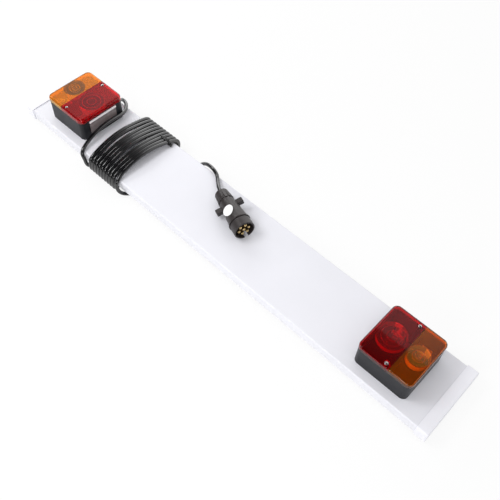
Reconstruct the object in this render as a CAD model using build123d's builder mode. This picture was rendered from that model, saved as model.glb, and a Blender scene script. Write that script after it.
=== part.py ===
from build123d import *
import math
import os

# Trailer lighting board, lying on its back: a hollow plastic panel with a rear lamp at each end,
# a seven core cable wound round it, and a seven pin plug on the cable's end.
# X runs along the board, Y across it and Z up out of its front face. The ends of the lamps' fixing
# bolts are its lowest points, so the floor is at Z = 0. All sizes are millimetres.

# Panel: an extruded plank with webs between its two faces
panel_length = 936.0
panel_width = 132.0
panel_thickness = 22.0
panel_wall = 2.2
panel_web = 1.6
panel_cells = 5
panel_edge = 2.5
cell_corner = 0.8

# End caps: sleeves pushed over the panel's ends
cap_depth = 20.0
cap_wall = 2.0
cap_clearance = 0.15
cap_edge = 3.5
cap_end_edge = 1.8

# Lamp fixings, through the panel
bolt_diameter = 5.0
bolt_head_diameter = 9.5
bolt_head_height = 3.0
bolt_end = 2.7
bolt_clearance = 0.3
washer_diameter = 11.0
washer_thickness = 1.0
nut_width = 8.0
nut_height = 4.0
thread_clearance = 0.1

# Lamp base: a tray with posts for the lens screws, its middle set in from the panel's end
lamp_inset = 102.5
base_size = 97.0
base_corner = 9.5
base_height = 39.7
base_wall = 2.4
base_floor = 2.6
bolt_pad_diameter = 16.0
bolt_pad_height = 1.5
post_diameter = 10.0
post_inset = 6.8
divider_wall = 1.6
divider_notch_width = 14.0
divider_notch_height = 9.0

# Lens: red and amber halves that meet on one line, over a seal
seal_thickness = 0.8
lens_overhang = 0.5
lens_height = 9.5
lens_wall = 2.2
lens_top = 2.6
lens_edge = 3.0
lens_split = 8.0
split_to_screws = 8.0
rib_wall = 1.6
collar_wall = 1.6
collar_depth = 15.0
stop_collar_margin = 2.4
turn_collar_margin = 1.2
optic_rings = 3
optic_pitch = 3.4
optic_depth = 0.9
boss_diameter = 12.4

# Lens screws
screw_diameter = 4.0
screw_head_diameter = 8.4
screw_head_height = 2.4
screw_length = 16.0
screw_clearance = 0.2
recess_length = 4.6
recess_width = 1.0
recess_depth = 1.3

# Number plate window in the lamp's inner wall
window_width = 62.0
window_low = 8.0
window_margin = 1.9
window_fit = 0.2
window_flange = 1.6
window_flange_wall = 1.2
window_lip_height = 3.8
window_lip = 1.8

# Bulbs and their holders
bulb_height = 20.0
glass_radius = 11.0
glass_straight = 4.0
shoulder_turn = 35.0
neck_radius = 6.8
neck_length = 10.0
bulb_cap_radius = 7.5
bulb_cap_length = 17.0
contact_radius = 3.0
contact_height = 1.6
holder_strip = 1.0
holder_width = 18.0
holder_bend = 1.5
holder_inset = 5.0
holder_rise = 9.5
holder_fit = 0.15

# Link lead between the lamps, and its grommets
lead_diameter = 5.0
lead_bend = 12.0
lead_rise = 8.0
lead_clearance = 0.1
grommet_diameter = 9.8
grommet_flange_diameter = 13.0
grommet_flange = 1.2
grommet_fit = 0.1

# Cable, boot on the back, winding and tie, placed along the board from the left lamp's middle
cord_diameter = 7.0
bend_share = 0.45
cord_gap = 0.4
boot_offset = -32.5
boot_length = 30.0
boot_width = 18.0
boot_tip_width = 10.0
boot_edge = 1.5
boot_stem_diameter = 9.6
boot_stem_fit = 0.2
boot_flange_diameter = 12.6
boot_flange = 1.2
winding_offset = 79.5
winding_width = 93.0
winding_bend = 12.0
winding_edge_gap = 7.0
winding_rise = 12.0
entry_width = 8.0
entry_height = 16.0
entry_y = -41.0
tie_y = 54.0
tie_grip = 21.0
tie_width = 3.5
tie_strap = 1.2
tie_gap = 0.7
tie_head_length = 5.5
tie_head_height = 4.6
tie_head_depth = 5.0

# Plug: places along its axis are measured from the gland nut's rear face
plug_offset = 322.1
plug_rear_y = 33.2
plug_yaw = -20.4
plug_pitch = 4.0
plug_roll = 12.0
plug_gap = 0.1
nut_length = 23.0
nut_rear_radius = 12.2
nut_front_radius = 14.6
nut_shoulder = 4.0
nut_grooves = 12
nut_groove_radius = 1.6
bore_depth = 12.0
bore_clearance = 0.2
cable_lead_in = 8.0
body_length = 53.5
body_rear_radius = 13.2
body_front_radius = 18.3
flange_radius = 19.75
flange_length = 2.4
flange_bevel = 0.9
ear_centre = 36.0
ear_length = 9.0
ear_height = 9.0
ear_reach = 25.5
ear_bevel = 1.0
groove_length = 1.5
groove_radius = 17.6
skirt_radius = 18.65
skirt_wall = 2.25
skirt_length = 18.5
skirt_edge = 0.6
keyway_width = 7.0
keyway_length = 12.0
insert_length = 6.5
insert_fit = 0.1
pin_diameter = 5.0
pin_circle = 18.5
pin_count = 6
pin_root = 6.0
pin_length = 16.5
pin_fit = 0.05
pin_bevel = 0.9
label_centre = 52.0
label_radius = 10.0
label_thickness = 0.4
label_turn = 27.0
label_gap = 0.05

# Heights of the panel's two faces above the floor
back_z = washer_thickness + nut_height + bolt_end
front_z = back_z + panel_thickness

# Cells between the panel's webs: the bolts pass down the middle of the second and fourth
cell_pitch = (panel_width - 2 * panel_wall + panel_web) / panel_cells
cell_width = cell_pitch - panel_web
cell_height = panel_thickness - 2 * panel_wall

# Lamp places: the left lamp is the right one turned half round, so local x points to the board's end
lamp_x = panel_length / 2 - lamp_inset
lamp_seats = {
    "left": Plane(origin=(-lamp_x, 0, front_z), x_dir=(-1, 0, 0), z_dir=(0, 0, 1)),
    "right": Plane(origin=(lamp_x, 0, front_z), x_dir=(1, 0, 0), z_dir=(0, 0, 1)),
}
screw_line = lens_split - split_to_screws
post_spacing = base_size - 2 * post_inset
screw_points = [(screw_line, post_spacing / 2), (screw_line, -post_spacing / 2)]
bolt_points = [(screw_line, cell_pitch), (screw_line, -cell_pitch)]
bolt_radius = bolt_diameter / 2
screw_radius = screw_diameter / 2
bolt_seat = base_floor + bolt_pad_height

# Levels and outlines inside a lamp, above the panel's front face
base_inner = base_size - 2 * base_wall
lens_size = base_size + 2 * lens_overhang
lens_corner = base_corner + lens_overhang
lens_inner = lens_size - 2 * lens_wall
lens_seam = base_height + seal_thickness
lens_ceiling = lens_seam + lens_height - lens_top
window_high = base_height - window_margin

# Each bulb stands in the middle of its colour's compartment, inside a round collar of the lens
stop_half = (lens_inner / 2 + lens_split - rib_wall) / 2
turn_half = (lens_inner / 2 - lens_split) / 2
bulb_places = {"stop": lens_split - rib_wall - stop_half, "turn": lens_split + turn_half}
collar_radii = {"stop": stop_half - stop_collar_margin, "turn": turn_half - turn_collar_margin}

# Cable levels: under the panel the cable hangs a small gap below its back
cord_radius = cord_diameter / 2
under_z = back_z - cord_gap - cord_radius
boot_x = boot_offset - lamp_x
boot_y = -cell_pitch
winding_left = winding_offset - lamp_x
winding_right = winding_left + winding_width


def save(part, name):
    """Labels a finished piece and writes it."""
    part.label = name
    export_step(part, f"parts/{name}.step")


def local_plane(seat, x, y, z, x_dir, z_dir):
    """A plane at a lamp's local point, with its directions given along the lamp's own axes."""
    axes = {"x": seat.x_dir, "y": seat.y_dir, "z": seat.z_dir}
    axes.update({"-" + name: -direction for name, direction in list(axes.items())})
    return Plane(origin=seat.from_local_coords(Vector(x, y, z)), x_dir=axes[x_dir], z_dir=axes[z_dir])


def build_board_panel():
    """Hollow panel, drilled for the lamps' bolts, their wires and the cable's boot."""
    with BuildPart() as board_panel:
        with BuildSketch(Plane.YZ.offset(-panel_length / 2)):
            with Locations((0, back_z + panel_thickness / 2)):
                RectangleRounded(panel_width, panel_thickness, panel_edge)
                with GridLocations(cell_pitch, 1, panel_cells, 1):
                    RectangleRounded(cell_width, cell_height, cell_corner, mode=Mode.SUBTRACT)
        extrude(amount=panel_length)
        for seat in lamp_seats.values():
            with BuildSketch(seat):
                with Locations(*bolt_points):
                    Circle(bolt_radius + bolt_clearance)
            extrude(amount=-panel_thickness, mode=Mode.SUBTRACT)
            with BuildSketch(seat):
                with Locations((screw_line, 0)):
                    Circle(grommet_diameter / 2 + grommet_fit)
            extrude(amount=-panel_wall, mode=Mode.SUBTRACT)
        with BuildSketch(Plane.XY.offset(back_z)):
            with Locations((boot_x, boot_y)):
                Circle(boot_stem_diameter / 2 + boot_stem_fit)
        extrude(amount=panel_wall, mode=Mode.SUBTRACT)
    save(board_panel.part, "board_panel")


def build_end_cap(side, direction):
    """Closed sleeve on one end of the panel."""
    mid_z = back_z + panel_thickness / 2
    mouth = panel_length / 2 - cap_depth + cap_wall
    mouth_plane = Plane(origin=(direction * mouth, 0, mid_z), x_dir=(0, 1, 0), z_dir=(direction, 0, 0))
    grow = 2 * (cap_clearance + cap_wall)
    with BuildPart() as end_cap:
        with BuildSketch(mouth_plane):
            RectangleRounded(panel_width + grow, panel_thickness + grow, cap_edge)
        extrude(amount=cap_depth)
        closed_end = end_cap.faces().sort_by(Axis.X)[-1 if direction > 0 else 0]
        fillet(closed_end.edges(), radius=cap_end_edge)
        with BuildSketch(mouth_plane):
            RectangleRounded(
                panel_width + 2 * cap_clearance, panel_thickness + 2 * cap_clearance, panel_edge
            )
        extrude(amount=cap_depth - cap_wall, mode=Mode.SUBTRACT)
    save(end_cap.part, f"end_cap_{side}")


def build_lamp_base(side, seat):
    """Tray with screw posts, bolt pads, a light divider and the number plate window's opening."""
    divider_middle = lens_split - rib_wall / 2
    with BuildPart() as lamp_base:
        with BuildSketch(seat):
            RectangleRounded(base_size, base_size, base_corner)
        extrude(amount=base_height)
        with BuildSketch(seat.offset(base_floor)):
            RectangleRounded(base_inner, base_inner, base_corner - base_wall)
        extrude(amount=base_height - base_floor, mode=Mode.SUBTRACT)
        with BuildSketch(seat.offset(base_floor)):
            with Locations(*screw_points):
                Circle(post_diameter / 2)
            with Locations((divider_middle, 0)):
                Rectangle(divider_wall, base_inner)
        extrude(amount=base_height - base_floor)
        with BuildSketch(seat.offset(base_floor)):
            with Locations(*bolt_points):
                Circle(bolt_pad_diameter / 2)
        extrude(amount=bolt_pad_height)
        with BuildSketch(seat.offset(base_floor)):
            with Locations((divider_middle, 0)):
                Rectangle(2 * divider_wall, divider_notch_width)
        extrude(amount=divider_notch_height, mode=Mode.SUBTRACT)
        with BuildSketch(seat.offset(base_height)):
            with Locations(*screw_points):
                Circle(screw_radius + thread_clearance)
        extrude(amount=-screw_length, mode=Mode.SUBTRACT)
        with BuildSketch(seat):
            with Locations(*bolt_points):
                Circle(bolt_radius + bolt_clearance)
        extrude(amount=bolt_seat, mode=Mode.SUBTRACT)
        with BuildSketch(seat):
            with Locations((screw_line, 0)):
                Circle(grommet_diameter / 2 + grommet_fit)
        extrude(amount=base_floor, mode=Mode.SUBTRACT)
        with BuildSketch(local_plane(seat, -base_size / 2, 0, 0, "-y", "-x")):
            with Locations((0, (window_low + window_high) / 2)):
                Rectangle(window_width, window_high - window_low)
        extrude(amount=-base_wall, mode=Mode.SUBTRACT)
    save(lamp_base.part, f"lamp_base_{side}")


def build_lens_seal(side, seat):
    """Flat gasket between the base's rim and the lens, with an eye over each screw post."""
    with BuildPart() as lens_seal:
        with BuildSketch(seat.offset(base_height)):
            RectangleRounded(base_size, base_size, base_corner)
            RectangleRounded(base_inner, base_inner, base_corner - base_wall, mode=Mode.SUBTRACT)
            with Locations(*screw_points):
                Circle(post_diameter / 2)
                Circle(screw_radius + screw_clearance, mode=Mode.SUBTRACT)
        extrude(amount=seal_thickness)
    save(lens_seal.part, f"lens_seal_{side}")


def build_lens(side, seat, colour):
    """One colour of the lens: rim, round optics in their collars, and the screws' wells."""
    ring_profile = [(0, 0), (optic_pitch / 2, -optic_depth), (optic_pitch, 0)]
    with BuildPart() as lens:
        with BuildSketch(seat.offset(lens_seam)):
            RectangleRounded(lens_size, lens_size, lens_corner)
        extrude(amount=lens_height)
        fillet(lens.edges().group_by(Axis.Z)[-1], radius=lens_edge)
        with BuildSketch(seat.offset(lens_seam)):
            RectangleRounded(lens_inner, lens_inner, lens_corner - lens_wall)
        extrude(amount=lens_height - lens_top, mode=Mode.SUBTRACT)
        with BuildSketch(seat.offset(lens_seam)):
            with Locations(*screw_points):
                Circle(boss_diameter / 2)
            with Locations((lens_split - rib_wall / 2, 0)):
                Rectangle(rib_wall, lens_inner)
        extrude(amount=lens_height - lens_top)
        for bulb, place in bulb_places.items():
            with BuildSketch(seat.offset(lens_ceiling - collar_depth)):
                with Locations((place, 0)):
                    Circle(collar_radii[bulb])
                    Circle(collar_radii[bulb] - collar_wall, mode=Mode.SUBTRACT)
            extrude(amount=collar_depth)
            optic_plane = local_plane(seat, place, 0, lens_ceiling, "x", "-y")
            for ring in range(optic_rings):
                with BuildSketch(optic_plane):
                    with BuildLine():
                        Polyline(*[(x + (ring + 1) * optic_pitch, y) for x, y in ring_profile], close=True)
                    make_face()
                revolve(axis=Axis(optic_plane.origin, seat.z_dir))
        with BuildSketch(seat.offset(lens_seam + lens_height)):
            with Locations(*screw_points):
                Circle(screw_head_diameter / 2 + screw_clearance)
        extrude(amount=-screw_head_height, mode=Mode.SUBTRACT)
        with BuildSketch(seat.offset(lens_seam)):
            with Locations(*screw_points):
                Circle(screw_radius + screw_clearance)
        extrude(amount=lens_height, mode=Mode.SUBTRACT)
        split_plane = local_plane(seat, lens_split, 0, 0, "y", "x")
        split(bisect_by=split_plane, keep=Keep.BOTTOM if colour == "red" else Keep.TOP)
    save(lens.part, f"lens_{colour}_{side}")


def build_lens_screws(side, seat):
    """Two cross headed screws that hold the lens down on the base's posts."""
    head_low = lens_seam + lens_height - screw_head_height
    with BuildPart() as lens_screws:
        with BuildSketch(seat.offset(head_low)):
            with Locations(*screw_points):
                Circle(screw_head_diameter / 2)
        extrude(amount=screw_head_height)
        with BuildSketch(seat.offset(head_low)):
            with Locations(*screw_points):
                Circle(screw_radius)
        extrude(amount=base_height - screw_length + thread_clearance - head_low)
        with BuildSketch(seat.offset(head_low + screw_head_height)):
            with Locations(*screw_points):
                Rectangle(recess_length, recess_width)
                Rectangle(recess_width, recess_length)
        extrude(amount=-recess_depth, mode=Mode.SUBTRACT)
    save(lens_screws.part, f"lens_screws_{side}")


def build_plate_window(side, seat):
    """Clear pane in the base's inner wall, with a flange inside and a thick bar along its top."""
    outside = local_plane(seat, -base_size / 2, 0, 0, "-y", "-x")
    pane_width = window_width - 2 * window_fit
    pane_height = window_high - window_low - 2 * window_fit
    pane_middle = (0, (window_low + window_high) / 2)
    bar_middle = (0, window_high - window_fit - window_lip_height / 2)
    with BuildPart() as plate_window:
        with BuildSketch(outside.offset(-base_wall)):
            with Locations(pane_middle):
                Rectangle(pane_width, pane_height)
        extrude(amount=base_wall)
        with BuildSketch(outside.offset(-base_wall)):
            with Locations(pane_middle):
                Rectangle(window_width + 2 * window_flange, window_high - window_low + 2 * window_flange)
        extrude(amount=-window_flange_wall)
        with BuildSketch(outside):
            with Locations(bar_middle):
                Rectangle(pane_width, window_lip_height)
        extrude(amount=window_lip)
    save(plate_window.part, f"plate_window_{side}")


def build_bulb(side, seat, bulb):
    """Glass envelope and metal cap of one bulb, lying across the lamp, and its bent strip holder."""
    axis_plane = local_plane(seat, bulb_places[bulb], 0, bulb_height, "y", "x")
    axis = Axis(axis_plane.origin, axis_plane.x_dir)
    neck_end = glass_straight + neck_length
    cap_end = neck_end + bulb_cap_length
    contact_end = cap_end + contact_height
    with BuildPart() as bulb_glass:
        with BuildSketch(axis_plane):
            with BuildLine():
                CenterArc((0, 0), glass_radius, 90, 90)
                Line((0, glass_radius), (glass_straight, glass_radius))
                shoulder = CenterArc((glass_straight, 0), glass_radius, 90, -shoulder_turn)
                Polyline(shoulder @ 1, (neck_end, neck_radius), (neck_end, 0), (-glass_radius, 0))
            make_face()
        revolve(axis=axis)
    save(bulb_glass.part, f"{bulb}_bulb_{side}")
    with BuildPart() as bulb_cap:
        with BuildSketch(axis_plane):
            with BuildLine():
                Polyline(
                    (neck_end, 0),
                    (neck_end, bulb_cap_radius),
                    (cap_end, bulb_cap_radius),
                    (cap_end, contact_radius),
                    (contact_end, contact_radius),
                    (contact_end, 0),
                    close=True,
                )
            make_face()
        revolve(axis=axis)
    save(bulb_cap.part, f"{bulb}_bulb_cap_{side}")
    foot = base_floor - bulb_height + holder_strip / 2
    front = neck_end + holder_inset
    rear = contact_end + holder_strip / 2
    holder_line = [(front, holder_rise), (front, foot), (rear, foot), (rear, contact_radius)]
    with BuildPart() as holder:
        with BuildSketch(axis_plane.offset(-holder_width / 2)):
            with BuildLine():
                FilletPolyline(*holder_line, radius=holder_bend)
            trace(line_width=holder_strip)
        extrude(amount=holder_width)
        eye_plane = local_plane(seat, bulb_places[bulb], front - holder_strip, bulb_height, "z", "y")
        with BuildSketch(eye_plane):
            Circle(bulb_cap_radius + holder_fit)
        extrude(amount=2 * holder_strip, mode=Mode.SUBTRACT)
    save(holder.part, f"{bulb}_bulb_holder_{side}")


def build_fixings(side, seat):
    """Two bolts from inside the base through the panel, with a washer and a nut behind each."""
    back = seat.offset(-panel_thickness)
    with BuildPart() as fixing_bolts:
        with BuildSketch(seat.offset(bolt_seat)):
            with Locations(*bolt_points):
                Circle(bolt_head_diameter / 2)
        extrude(amount=bolt_head_height)
        with BuildSketch(seat.offset(bolt_seat)):
            with Locations(*bolt_points):
                Circle(bolt_radius)
        extrude(amount=-(bolt_seat + front_z))
    save(fixing_bolts.part, f"fixing_bolts_{side}")
    with BuildPart() as fixing_washers:
        with BuildSketch(back):
            with Locations(*bolt_points):
                Circle(washer_diameter / 2)
                Circle(bolt_radius + bolt_clearance, mode=Mode.SUBTRACT)
        extrude(amount=-washer_thickness)
    save(fixing_washers.part, f"fixing_washers_{side}")
    with BuildPart() as fixing_nuts:
        with BuildSketch(back.offset(-washer_thickness)):
            with Locations(*bolt_points):
                RegularPolygon(nut_width / 2, 6, major_radius=False)
                Circle(bolt_radius + thread_clearance, mode=Mode.SUBTRACT)
        extrude(amount=-nut_height)
    save(fixing_nuts.part, f"fixing_nuts_{side}")


def build_grommet(side, seat):
    """Flanged bush for the wires, through the base's floor and the panel's front wall."""
    below = panel_wall + grommet_flange
    with BuildPart() as grommet:
        with BuildSketch(seat.offset(-below)):
            with Locations((screw_line, 0)):
                Circle(grommet_flange_diameter / 2)
        extrude(amount=grommet_flange)
        with BuildSketch(seat.offset(-panel_wall)):
            with Locations((screw_line, 0)):
                Circle(grommet_diameter / 2)
        extrude(amount=panel_wall + base_floor)
        with BuildSketch(seat.offset(base_floor)):
            with Locations((screw_line, 0)):
                Circle(grommet_flange_diameter / 2)
        extrude(amount=grommet_flange)
        with BuildSketch(seat.offset(-below)):
            with Locations((screw_line, 0)):
                Circle(lead_diameter / 2 + lead_clearance)
        extrude(amount=below + base_floor + grommet_flange, mode=Mode.SUBTRACT)
    save(grommet.part, f"wire_grommet_{side}")


def build_link_lead():
    """Lead from lamp to lamp, lying on the floor of the panel's middle cell."""
    lead_z = back_z + panel_wall + lead_diameter / 2 + lead_clearance
    top_z = front_z + base_floor + lead_rise
    ends = [seat.from_local_coords(Vector(screw_line, 0, 0)).X for seat in lamp_seats.values()]
    with BuildPart() as link_lead:
        with BuildLine() as route:
            FilletPolyline(
                (ends[0], 0, top_z), (ends[0], 0, lead_z), (ends[1], 0, lead_z), (ends[1], 0, top_z),
                radius=lead_bend,
            )
        with BuildSketch(Plane(origin=route.line @ 0, z_dir=route.line % 0)):
            Circle(lead_diameter / 2)
        sweep()
    save(link_lead.part, "link_lead")


def build_cable_boot():
    """Low tapered strain relief on the panel's back, plugged through its back wall."""
    low_z = under_z - cord_radius
    with BuildPart() as cable_boot:
        with BuildSketch(Plane.XY.offset(low_z)):
            with Locations((boot_x, boot_y)):
                Circle(boot_width / 2)
            with Locations((boot_x, boot_y + boot_length - boot_tip_width / 2)):
                Rectangle(boot_tip_width, boot_tip_width)
            make_hull()
        extrude(amount=back_z - low_z)
        fillet(cable_boot.edges().group_by(Axis.Z)[0], radius=boot_edge)
        with BuildSketch(Plane.XY.offset(back_z)):
            with Locations((boot_x, boot_y)):
                Circle(boot_stem_diameter / 2)
        extrude(amount=panel_wall)
        with BuildSketch(Plane.XY.offset(back_z + panel_wall)):
            with Locations((boot_x, boot_y)):
                Circle(boot_flange_diameter / 2)
        extrude(amount=boot_flange)
    save(cable_boot.part, "cable_boot")


def corner_radii(points):
    """Largest even bend at each corner of a cable's route."""
    radii = []
    for before, here, after in zip(points, points[1:], points[2:]):
        arriving = Vector(*here) - Vector(*before)
        leaving = Vector(*after) - Vector(*here)
        half_turn = math.radians(arriving.get_angle(leaving) / 2)
        radii.append(bend_share * min(arriving.length, leaving.length) / math.tan(half_turn))
    return radii


def build_cable(name, points):
    """A free stretch of the cable along its route."""
    radii = corner_radii(points)
    with BuildPart() as cable:
        with BuildLine() as route:
            FilletPolyline(*points, radius=radii)
        with BuildSketch(Plane(origin=route.line @ 0, z_dir=route.line % 0)):
            Circle(cord_radius)
        sweep()
    length = sum(edge.length for edge in route.edges())
    expected = math.pi * cord_radius**2 * length
    print(name, "radii", [round(radius, 1) for radius in radii])
    print(name, "length", round(length, 1), "volume share", round(cable.part.volume / expected, 4))
    save(cable.part, name)


# Round the panel's long edges the winding bends on arcs, which a flatter arch joins over the front
winding_y = panel_width / 2 + winding_edge_gap - winding_bend
winding_mid_z = back_z - cord_gap + winding_bend
arch_above_mid = front_z + winding_rise - winding_mid_z
arch_radius = (winding_y**2 + arch_above_mid**2 - winding_bend**2) / (2 * (arch_above_mid - winding_bend))
arch_z = front_z + winding_rise - arch_radius
arch_angle = math.degrees(math.atan2(winding_mid_z - arch_z, winding_y))


def build_cable_winding():
    """The wound turns as one closed band, with room for the cable's entry and for the tie."""
    tie_left = winding_right - tie_grip
    with BuildPart() as cable_winding:
        with BuildSketch(Plane.YZ.offset(winding_left)):
            for grow, mode in ((cord_diameter, Mode.ADD), (0, Mode.SUBTRACT)):
                bend = winding_bend + grow
                low_z = winding_mid_z - bend
                with BuildLine():
                    Line((-winding_y, low_z), (winding_y, low_z))
                    CenterArc((winding_y, winding_mid_z), bend, -90, 90 + arch_angle)
                    CenterArc((0, arch_z), arch_radius + grow, arch_angle, 180 - 2 * arch_angle)
                    CenterArc((-winding_y, winding_mid_z), bend, 180 - arch_angle, 90 + arch_angle)
                make_face(mode=mode)
        extrude(amount=winding_right - winding_left)
        with BuildSketch(Plane.XY):
            with Locations((winding_left, entry_y)):
                Rectangle(entry_width, panel_width, align=(Align.MIN, Align.MAX))
        extrude(amount=entry_height, mode=Mode.SUBTRACT)
        with BuildSketch(Plane.XY.offset(front_z)):
            with Locations((tie_left - tie_strap / 2, tie_y)):
                Rectangle(tie_strap + tie_gap, tie_width + tie_gap)
        extrude(amount=winding_rise + 2 * cord_diameter, mode=Mode.SUBTRACT)
    save(cable_winding.part, "cable_winding")


def build_cable_tie():
    """Strap round the last turns near the far edge, with its head on the outside."""
    outer_radius = arch_radius + cord_diameter
    arch_low = arch_z + math.sqrt(arch_radius**2 - (tie_y + tie_width / 2) ** 2) - tie_gap
    arch_high = arch_z + math.sqrt(outer_radius**2 - (tie_y - tie_width / 2) ** 2) + tie_gap
    tie_left = winding_right - tie_grip
    middle = ((tie_left + winding_right + tie_gap) / 2, (arch_low + arch_high) / 2)
    inner_width = tie_grip + tie_gap
    inner_height = arch_high - arch_low
    head_middle = (winding_right + tie_gap + tie_strap + tie_head_depth / 2, middle[1])
    with BuildPart() as cable_tie:
        with BuildSketch(Plane.XZ.offset(-(tie_y + tie_width / 2))):
            with Locations(middle):
                Rectangle(inner_width + 2 * tie_strap, inner_height + 2 * tie_strap)
                Rectangle(inner_width, inner_height, mode=Mode.SUBTRACT)
        extrude(amount=tie_width)
        with BuildSketch(Plane.XZ.offset(-(tie_y + tie_head_length / 2))):
            with Locations(head_middle):
                Rectangle(tie_head_depth, tie_head_height)
        extrude(amount=tie_head_length)
    save(cable_tie.part, "cable_tie")


# The plug lies on the panel's front on its flange, and its cable carries the nut
body_end = nut_length + body_length
flange_start = body_end - flange_length
skirt_end = body_end + skirt_length
skirt_inner = skirt_radius - skirt_wall
yaw = math.radians(plug_yaw)
pitch = math.radians(plug_pitch)
roll = math.radians(plug_roll)
flange_low = flange_radius * math.cos(pitch) - (flange_start + flange_bevel) * math.sin(pitch)
plug_rear = Vector(plug_offset - lamp_x, plug_rear_y, front_z + plug_gap + flange_low)
plug_forward = Vector(math.cos(yaw) * math.cos(pitch), math.sin(yaw) * math.cos(pitch), math.sin(pitch))
level_side = Vector(-math.sin(yaw), math.cos(yaw), 0)
level_top = plug_forward.cross(level_side)
plug_side = level_side * math.cos(roll) + level_top * math.sin(roll)
plug_top = level_top * math.cos(roll) - level_side * math.sin(roll)
plug_axis = Axis(plug_rear, plug_forward)
plug_section = Plane(origin=plug_rear, x_dir=plug_forward, z_dir=-plug_side)


def plug_face(along):
    """Plane across the plug at a place along its axis."""
    return Plane(origin=plug_rear + plug_forward * along, x_dir=plug_side, z_dir=plug_forward)


def body_radius(along):
    """Radius of the plug's tapered body at a place along its axis."""
    taper = (body_front_radius - body_rear_radius) / (body_length - flange_length)
    return body_rear_radius + (along - nut_length) * taper


def build_gland_nut():
    """Round shouldered, grooved nut that clamps the cable."""
    with BuildPart() as gland_nut:
        with BuildSketch(plug_section):
            with BuildLine():
                Polyline(
                    (0, 0), (0, nut_rear_radius), (nut_length, nut_front_radius), (nut_length, 0), close=True
                )
            make_face()
        revolve(axis=plug_axis)
        fillet(gland_nut.edges().group_by(plug_axis)[0], radius=nut_shoulder)
        with BuildSketch(plug_face(0)):
            with PolarLocations(nut_front_radius, nut_grooves):
                Circle(nut_groove_radius)
        extrude(amount=nut_length, mode=Mode.SUBTRACT)
        with BuildSketch(plug_face(0)):
            Circle(cord_radius + bore_clearance)
        extrude(amount=bore_depth, mode=Mode.SUBTRACT)
    save(gland_nut.part, "plug_gland_nut")


def build_plug_body():
    """Tapered body with a flange at its front and a square ear on each side."""
    with BuildPart() as plug_body:
        with BuildSketch(plug_section):
            with BuildLine():
                Polyline(
                    (nut_length, 0),
                    (nut_length, body_rear_radius),
                    (flange_start, body_front_radius),
                    (flange_start + flange_bevel, flange_radius),
                    (body_end, flange_radius),
                    (body_end, 0),
                    close=True,
                )
            make_face()
        revolve(axis=plug_axis)
        with BuildSketch(plug_face(ear_centre - ear_length / 2)) as ears:
            Rectangle(2 * ear_reach, ear_height)
            chamfer(ears.vertices(), length=ear_bevel)
        extrude(amount=ear_length)
    save(plug_body.part, "plug_body")


def build_plug_skirt():
    """Front sleeve round the contacts, with a waist behind it and a keyway underneath."""
    with BuildPart() as plug_skirt:
        with BuildSketch(plug_face(body_end)):
            Circle(groove_radius)
        extrude(amount=groove_length)
        with BuildSketch(plug_face(body_end + groove_length)):
            Circle(skirt_radius)
        extrude(amount=skirt_length - groove_length)
        fillet(plug_skirt.edges().group_by(plug_axis)[-1], radius=skirt_edge)
        with BuildSketch(plug_face(body_end)):
            Circle(skirt_inner)
        extrude(amount=skirt_length, mode=Mode.SUBTRACT)
        with BuildSketch(plug_face(skirt_end - keyway_length)):
            with Locations((0, -skirt_radius)):
                Rectangle(keyway_width, 4 * skirt_wall)
        extrude(amount=keyway_length, mode=Mode.SUBTRACT)
    save(plug_skirt.part, "plug_skirt")


def build_plug_contacts():
    """Insert that fills the skirt's root, and the pins that stand in it."""
    insert_face = body_end + insert_length
    with BuildPart() as contact_insert:
        with BuildSketch(plug_face(body_end)):
            Circle(skirt_inner - insert_fit)
        extrude(amount=insert_length)
        with BuildSketch(plug_face(insert_face)):
            Circle(pin_diameter / 2 + pin_fit)
            with PolarLocations(pin_circle / 2, pin_count):
                Circle(pin_diameter / 2 + pin_fit)
        extrude(amount=-pin_root, mode=Mode.SUBTRACT)
    save(contact_insert.part, "plug_contact_insert")
    with BuildPart() as contact_pins:
        with BuildSketch(plug_face(insert_face - pin_root)):
            Circle(pin_diameter / 2)
            with PolarLocations(pin_circle / 2, pin_count):
                Circle(pin_diameter / 2)
        extrude(amount=pin_length)
        chamfer(contact_pins.edges().group_by(plug_axis)[-1], length=pin_bevel)
    save(contact_pins.part, "plug_pins")


def build_plug_label():
    """Blank round label, curved with the body's upper flank."""
    start = label_centre - 2 * label_radius
    end = label_centre + 2 * label_radius
    start_radius = body_radius(start) + label_gap
    end_radius = body_radius(end) + label_gap
    turn = math.radians(label_turn)
    outward = plug_top * math.cos(turn) - plug_side * math.sin(turn)
    label_plane = Plane(origin=plug_rear + plug_forward * label_centre, x_dir=plug_forward, z_dir=outward)
    with BuildPart() as plug_label:
        with BuildSketch(plug_section):
            with BuildLine():
                Polyline(
                    (start, start_radius),
                    (end, end_radius),
                    (end, end_radius + label_thickness),
                    (start, start_radius + label_thickness),
                    close=True,
                )
            make_face()
        revolve(axis=plug_axis)
        with BuildSketch(label_plane):
            Circle(label_radius)
        extrude(amount=2 * flange_radius, mode=Mode.INTERSECT)
    save(plug_label.part, "plug_label")


# The cable's route from the boot under the panel's back, up round its far edge, down beside the left
# lamp and under the near edge into the winding
feed_points = [
    (boot_offset, 22.0, under_z),
    (-29.5, 40.0, under_z),
    (-22.5, 60.0, under_z),
    (-14.0, 78.0, 5.2),
    (-3.5, 82.0, 20.5),
    (9.5, 76.5, 35.5),
    (27.5, 67.0, 41.0),
    (45.0, 58.5, 43.0),
    (54.0, 42.0, 43.5),
    (56.0, 20.0, 43.0),
    (55.0, -4.0, 42.5),
    (56.5, -28.0, 42.0),
    (60.0, -49.5, 40.5),
    (65.5, -69.0, 37.0),
    (70.5, -79.0, 24.5),
    (76.5, -78.0, 9.5),
    (81.5, -66.5, 4.0),
    (83.5, -54.0, under_z),
    (83.5, entry_y, under_z),
]
feed_route = [(boot_x, boot_y + boot_length, under_z)] + [(x - lamp_x, y, z) for x, y, z in feed_points]

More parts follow.
